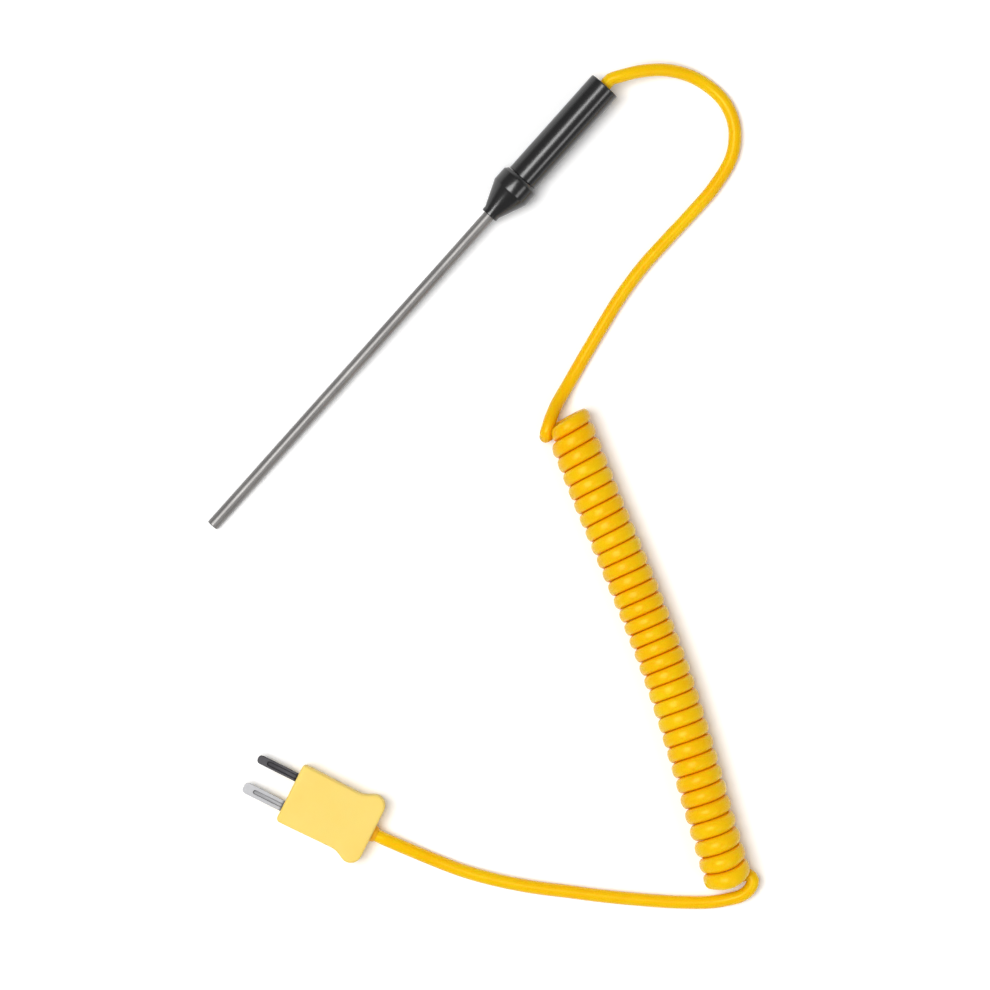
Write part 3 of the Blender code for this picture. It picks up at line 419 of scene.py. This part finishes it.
def make_finish(slot, look):
    """A surface with drifting colour, fine grain that may run one way, rough and raised detail, and painted
    shade in its recesses where the look gives one.
    """
    material = bpy.data.materials.new(slot)
    material.use_nodes = True
    nodes, links = material.node_tree.nodes, material.node_tree.links
    shader = nodes["Principled BSDF"]
    shader.inputs["Metallic"].default_value = look.get("metal", 0.0)
    shader.inputs["IOR"].default_value = look.get("ior", 1.5)
    shader.inputs["Specular Tint"].default_value = linear(look.get("gloss_tint", (255, 255, 255)))
    shader.inputs["Subsurface Weight"].default_value = look.get("glow_depth", 0.0)
    shader.inputs["Subsurface Radius"].default_value = look.get("glow_reach", (1.0, 0.6, 0.2))
    shader.inputs["Subsurface Scale"].default_value = look.get("glow_scale", 0.001)
    place = nodes.new("ShaderNodeTexCoord").outputs["Object"]

    def noise(stretch, turn, size, detail):
        mapping = nodes.new("ShaderNodeMapping")
        mapping.vector_type = "TEXTURE"
        mapping.inputs["Rotation"].default_value = turn
        mapping.inputs["Scale"].default_value = stretch
        links.new(place, mapping.inputs["Vector"])
        texture = nodes.new("ShaderNodeTexNoise")
        texture.inputs["Scale"].default_value = 1.0 / size
        texture.inputs["Detail"].default_value = detail
        links.new(mapping.outputs[0], texture.inputs["Vector"])
        return texture.outputs["Fac"]

    def ranged(value, low, high):
        ranging = nodes.new("ShaderNodeMapRange")
        ranging.inputs["From Min"].default_value = NOISE_LOW
        ranging.inputs["From Max"].default_value = NOISE_HIGH
        ranging.inputs["To Min"].default_value = low
        ranging.inputs["To Max"].default_value = high
        links.new(value, ranging.inputs["Value"])
        return ranging.outputs[0]

    drift = noise((1.0, 1.0, 1.0), (0.0, 0.0, 0.0), look.get("drift_size", 6.0) * MM, DRIFT_DETAIL)
    grain = noise(
        look.get("stretch", (1.0, 1.0, 1.0)), look.get("turn", (0.0, 0.0, 0.0)), look["grain_size"] * MM,
        GRAIN_DETAIL,
    )
    tint = colour_mix(nodes, links, linear(look["colour"]), linear(look["second"]), ranged(drift, 0.0, 1.0))
    shade = nodes.new("ShaderNodeCombineColor")
    level = ranged(grain, 1.0 - look.get("speckle", 0.05), 1.0)
    for channel in ("Red", "Green", "Blue"):
        links.new(level, shade.inputs[channel])
    colour = colour_mix(nodes, links, tint, shade.outputs[0], 1.0, "MULTIPLY")
    # Painted shade: where ambient occlusion finds little open sky, in grooves, creases and against other
    # pieces, the colour is multiplied towards the look's recess tint.
    if "recess" in look:
        openness = nodes.new("ShaderNodeAmbientOcclusion")
        openness.inputs["Distance"].default_value = look["recess"] * MM
        openness.samples = RECESS_SAMPLES
        unshaded_share = nodes.new("ShaderNodeMapRange")
        unshaded_share.inputs["From Min"].default_value, unshaded_share.inputs["From Max"].default_value = RECESS_RANGE
        links.new(openness.outputs["AO"], unshaded_share.inputs["Value"])
        painted_recess_shade = colour_mix(nodes, links, (*look["recess_shade_tint"], 1.0), WHITE, unshaded_share.outputs[0])
        colour = colour_mix(nodes, links, colour, painted_recess_shade, 1.0, "MULTIPLY")
    links.new(colour, shader.inputs["Base Color"])
    low, high = look["rough"]
    links.new(ranged(grain, low, high), shader.inputs["Roughness"])
    bump = nodes.new("ShaderNodeBump")
    bump.inputs["Strength"].default_value = 1.0
    bump.inputs["Distance"].default_value = look["relief"] * MM
    links.new(grain, bump.inputs["Height"])
    links.new(bump.outputs["Normal"], shader.inputs["Normal"])
    return material


# Pieces


def finish_piece(piece, nodes):
    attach(piece, "root")
    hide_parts(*nodes)
    return piece


def skin_data(name, mesh, slot, sharp_angle):
    """The mesh with its finish, smooth wherever it turns by less than the angle."""
    data = bpy.data.meshes.new(name)
    mesh.to_mesh(data)
    mesh.free()
    data.materials.append(materials[slot])
    data.shade_smooth()
    data.set_sharp_from_angle(angle=sharp_angle)
    return data


def bridge(mesh, rings, following_rings):
    """Faces from each ring of corners to the one that follows it."""
    for ring, following in zip(rings, following_rings):
        for step in range(len(ring)):
            beside = (step + 1) % len(ring)
            mesh.faces.new((ring[step], ring[beside], following[beside], following[step]))


def round_outline(mesh, side, width):
    """Round the outline of the housing's wide face on the side that looks up (1) or down (-1)."""
    level_faces = [face for face in mesh.faces if face.normal.z * side > LEVEL]
    wide = max(level_faces, key=lambda face: face.calc_area())
    height = max(wide.verts, key=lambda corner: corner.co.z * side).co.z
    edges = [
        edge for edge in wide.edges if all(abs(corner.co.z - height) < OUTLINE_REACH for corner in edge.verts)
    ]
    bmesh.ops.bevel(
        mesh, geom=edges, offset=width * MM, offset_type="OFFSET", segments=OUTLINE_PIECES, profile=0.5,
        affect="EDGES", clamp_overlap=True,
    )


def smooth_copy(node, slot, edge):
    """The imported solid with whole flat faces, smooth round ones and edges eased by some millimetres."""
    solid = frame["nodes"][node]
    mesh = bmesh.new()
    mesh.from_mesh(solid.data)
    bmesh.ops.remove_doubles(mesh, verts=mesh.verts, dist=WELD)
    bmesh.ops.dissolve_limit(
        mesh, angle_limit=FLAT_ANGLE, verts=mesh.verts, edges=mesh.edges, use_dissolve_boundaries=False
    )
    bmesh.ops.recalc_face_normals(mesh, faces=mesh.faces)
    if node in CROWNED:
        round_outline(mesh, *CROWNED[node])
    piece = bare_object(node + "_skin", skin_data(node + "_skin", mesh, slot, SHARP_ANGLE))
    if edge:
        bevel = piece.modifiers.new("eased_edges", "BEVEL")
        bevel.width = edge * MM
        bevel.segments = EDGE_PIECES
        bevel.limit_method = "ANGLE"
        bevel.angle_limit = SHARP_ANGLE
        bevel.harden_normals = True
    else:
        piece.modifiers.new("true_normals", "WEIGHTED_NORMAL").keep_sharp = True
    return finish_piece(piece, [node])


def section_power(half):
    """How square the cord's section is: round where it is free, and softer where the turns are wide."""
    pressed = min(1.0, abs(half - CORD_R) / (SQUARE_HALF - CORD_R))
    softened = min(1.0, max(0.0, (half - SQUARE_HALF) / (SOFT_HALF - SQUARE_HALF)))
    return ROUND_POWER + (SQUARE_POWER - ROUND_POWER) * pressed - (SQUARE_POWER - SOFT_POWER) * softened


def make_cord():
    """The whole cord from the handle to the plug as one tube: lead, coil and tail."""
    coil, turns = coil_points()
    sections = coil_sections(coil, turns)
    lead = smooth_route(
        [CORD_EXIT, CORD_EXIT + CORD_OUTWARDS * CORD_STRAIGHT, *to_table(LEAD_ROUTE), coil[0]], CORD_STEP,
        after=coil[2],
    )
    tail = smooth_route(
        [coil[-1], *to_table(TAIL_ROUTE), CORD_ENTRY - CORD_INWARDS * CORD_STRAIGHT, CORD_ENTRY], CORD_STEP,
        before=coil[-3],
    )
    points = [*lead[:-1], *coil, *tail[1:]]
    round_section = (CORD_R, CORD_R, Vector((0.0, 0.0, 1.0)))
    sections = [round_section] * (len(lead) - 1) + sections + [round_section] * (len(tail) - 1)
    mesh = bmesh.new()
    rings = []
    across = Vector((0.0, 0.0, 1.0))
    for index, (point, (back, ahead, way)) in enumerate(zip(points, sections)):
        tangent = (points[min(index + 1, len(points) - 1)] - points[max(index - 1, 0)]).normalized()
        across = (across - tangent * across.dot(tangent)).normalized()
        other = tangent.cross(across)
        power = section_power((back + ahead) / 2)
        ring = []
        for step in range(CORD_SIDES):
            angle = math.tau * step / CORD_SIDES
            outwards = across * math.cos(angle) + other * math.sin(angle)
            forwards = max(-1.0, min(outwards.dot(way), 1.0))
            wide = abs(forwards)
            flat = math.sqrt(1 - wide * wide)
            half = ahead if forwards > 0 else back
            reach = ((wide / half) ** power + (flat / CORD_R) ** power) ** (-1 / power)
            ring.append(mesh.verts.new(point + outwards * reach))
        rings.append(ring)
    bridge(mesh, rings, rings[1:])
    mesh.faces.new(rings[0][::-1])
    mesh.faces.new(rings[-1])
    bmesh.ops.recalc_face_normals(mesh, faces=mesh.faces)
    piece = bare_object("curly_cord", skin_data("curly_cord", mesh, "yellow_jacket", CAP_ANGLE))
    return finish_piece(piece, ["cord_lead", "cord_coil", "cord_tail"]), points


def make_grommet():
    """The soft ring round the cord where it enters the plug, tapered outside the housing."""
    mesh = bmesh.new()
    rings = []
    upwards = Vector((0.0, 0.0, 1.0))
    sideways = CORD_INWARDS.cross(upwards)
    front = Vector(GROMMET_FRONT) * MM
    for behind, radius in GROMMET_PROFILE:
        ring = []
        for step in range(GROMMET_SIDES):
            angle = math.tau * step / GROMMET_SIDES
            outwards = upwards * math.cos(angle) + sideways * math.sin(angle)
            ring.append(mesh.verts.new(front - CORD_INWARDS * behind * MM + outwards * radius * MM))
        rings.append(ring)
    bridge(mesh, rings, [*rings[1:], rings[0]])
    bmesh.ops.recalc_face_normals(mesh, faces=mesh.faces)
    # The ring's amber, darker and more orange than the housing, is partly the rubber's colour and partly
    # painted shade round the cord's entry.
    data = skin_data("cord_grommet_skin", mesh, "amber_rubber", SHARP_ANGLE)
    return finish_piece(bare_object("cord_grommet_skin", data), ["cord_grommet"])


# The turns that lay a finish's grain along the probe, which slopes a little, and along the plug's blades
LENGTHWAYS = (0.0, -0.0326921, 0.0)
BLADEWAYS = (0.0, 0.0, 1.8361)

# Each slot's finish: colours as 0 to 255 per channel, sizes of grain, drift, relief and recess in millimetres
LOOKS = {
    "steel_sheath": dict(
        colour=(136, 134, 133), second=(148, 146, 144), metal=1.0, rough=(0.43, 0.54), grain_size=0.12,
        stretch=(60.0, 1.0, 1.0), turn=LENGTHWAYS, relief=0.004, speckle=0.12, drift_size=9.0,
    ),
    "mineral": dict(
        colour=(240, 236, 228), second=(228, 222, 210), rough=(0.75, 0.95), grain_size=0.10, relief=0.02,
        speckle=0.10,
    ),
    "sealant": dict(
        colour=(150, 92, 58), second=(128, 74, 44), rough=(0.35, 0.55), grain_size=0.5, relief=0.03,
        speckle=0.12,
    ),
    # The blade's recess tint is painted shade: it darkens the groove's edges to near black.
    "alloy_positive": dict(
        colour=(74, 73, 75), second=(62, 61, 64), metal=1.0, rough=(0.42, 0.56), grain_size=0.05,
        stretch=(14.0, 1.0, 1.0), turn=BLADEWAYS, relief=0.001, speckle=0.15, recess=0.9,
        recess_shade_tint=(0.06, 0.06, 0.06),
    ),
    "alloy_negative": dict(
        colour=(204, 199, 188), second=(190, 184, 170), metal=1.0, rough=(0.25, 0.40), grain_size=0.06,
        stretch=(40.0, 1.0, 1.0), turn=LENGTHWAYS, relief=0.003, speckle=0.12,
    ),
    "black_handle": dict(
        colour=(21, 21, 22), second=(26, 25, 26), rough=(0.18, 0.25), grain_size=0.16, ior=1.60,
        stretch=(0.5, 12.0, 12.0), turn=LENGTHWAYS, relief=0.004, speckle=0.20, drift_size=12.0,
    ),
    "brass": dict(
        colour=(232, 200, 128), second=(220, 184, 108), metal=1.0, rough=(0.20, 0.34), grain_size=0.10,
        relief=0.003, speckle=0.10,
    ),
    # The blade's recess tint is painted shade: it darkens the groove's edges to near black.
    "tinned": dict(
        colour=(160, 160, 162), second=(150, 150, 152), metal=1.0, rough=(0.46, 0.58), grain_size=0.05,
        stretch=(14.0, 1.0, 1.0), turn=BLADEWAYS, relief=0.001, speckle=0.10, recess=0.9,
        recess_shade_tint=(0.06, 0.06, 0.06),
    ),
    "sleeving": dict(
        colour=(66, 66, 66), second=(58, 57, 56), rough=(0.60, 0.85), grain_size=0.18, relief=0.05,
        speckle=0.25,
    ),
    # The jacket's recess tint is painted shade: it turns the grooves between turns, and the cord where it meets
    # the table, darker and more orange.
    "yellow_jacket": dict(
        colour=(255, 206, 14), second=(255, 192, 4), rough=(0.24, 0.32), grain_size=0.35, relief=0.010,
        speckle=0.02, drift_size=16.0, glow_depth=0.80, glow_reach=(1.0, 0.55, 0.05), glow_scale=0.0020,
        gloss_tint=(255, 232, 140), ior=1.40, recess=1.4, recess_shade_tint=(1.0, 0.76, 0.40),
    ),
    "yellow_insulation": dict(
        colour=(246, 222, 60), second=(238, 210, 50), rough=(0.40, 0.55), grain_size=0.25, relief=0.01,
        speckle=0.06,
    ),
    "red_insulation": dict(
        colour=(216, 60, 50), second=(200, 48, 40), rough=(0.40, 0.55), grain_size=0.25, relief=0.01,
        speckle=0.06,
    ),
    "yellow_moulding": dict(
        colour=(255, 221, 120), second=(255, 217, 112), rough=(0.50, 0.62), grain_size=0.14, relief=0.010,
        speckle=0.03, drift_size=10.0, glow_depth=0.45, glow_reach=(1.0, 0.75, 0.35), glow_scale=0.0014,
        gloss_tint=(255, 240, 190),
    ),
    "amber_rubber": dict(
        colour=(250, 180, 30), second=(244, 168, 22), rough=(0.45, 0.62), grain_size=0.16, relief=0.015,
        speckle=0.08, glow_depth=0.2, glow_reach=(1.0, 0.5, 0.1), glow_scale=0.0008, gloss_tint=(255, 226, 150),
    ),
    "steel_screw": dict(
        colour=(204, 204, 206), second=(190, 190, 192), metal=1.0, rough=(0.22, 0.38), grain_size=0.10,
        relief=0.004, speckle=0.12,
    ),
}

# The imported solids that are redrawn: the slot of each and how far its edges are eased in millimetres
EASED = {
    "sheath": ("steel_sheath", 0.05),
    "nose_cone": ("black_handle", 0.08),
    "handle_tube": ("black_handle", 0.0),
    "plug_base": ("yellow_moulding", 0.10),
    "plug_cover": ("yellow_moulding", 0.10),
    "blade_positive": ("alloy_positive", 0.12),
    "blade_negative": ("tinned", 0.12),
    "housing_screw_positive": ("steel_screw", 0.04),
    "housing_screw_negative": ("steel_screw", 0.04),
}

# The scene

bpy.context.scene.view_settings.view_transform = "Standard"
make_camera()
make_room()
make_floor()
make_softbox("key", KEY_LEVEL, KEY_LEAN, KEY_FROM, KEY_WIDTH, KEY_LENGTH)
make_softbox("fill", FILL_LEVEL, FILL_LEAN, FILL_FROM, FILL_WIDTH, FILL_LENGTH)
materials = {slot: make_finish(slot, look) for slot, look in LOOKS.items()}
skins = {node: smooth_copy(node, slot, edge) for node, (slot, edge) in EASED.items()}
skins["cord_grommet"] = make_grommet()
cord, cord_path = make_cord()
for node, solid in frame["nodes"].items():
    if node not in skins and not solid.hide_render:
        solid.data.materials.clear()
        solid.data.materials.append(materials[SLOT_OF[node]])

bpy.context.view_layer.update()
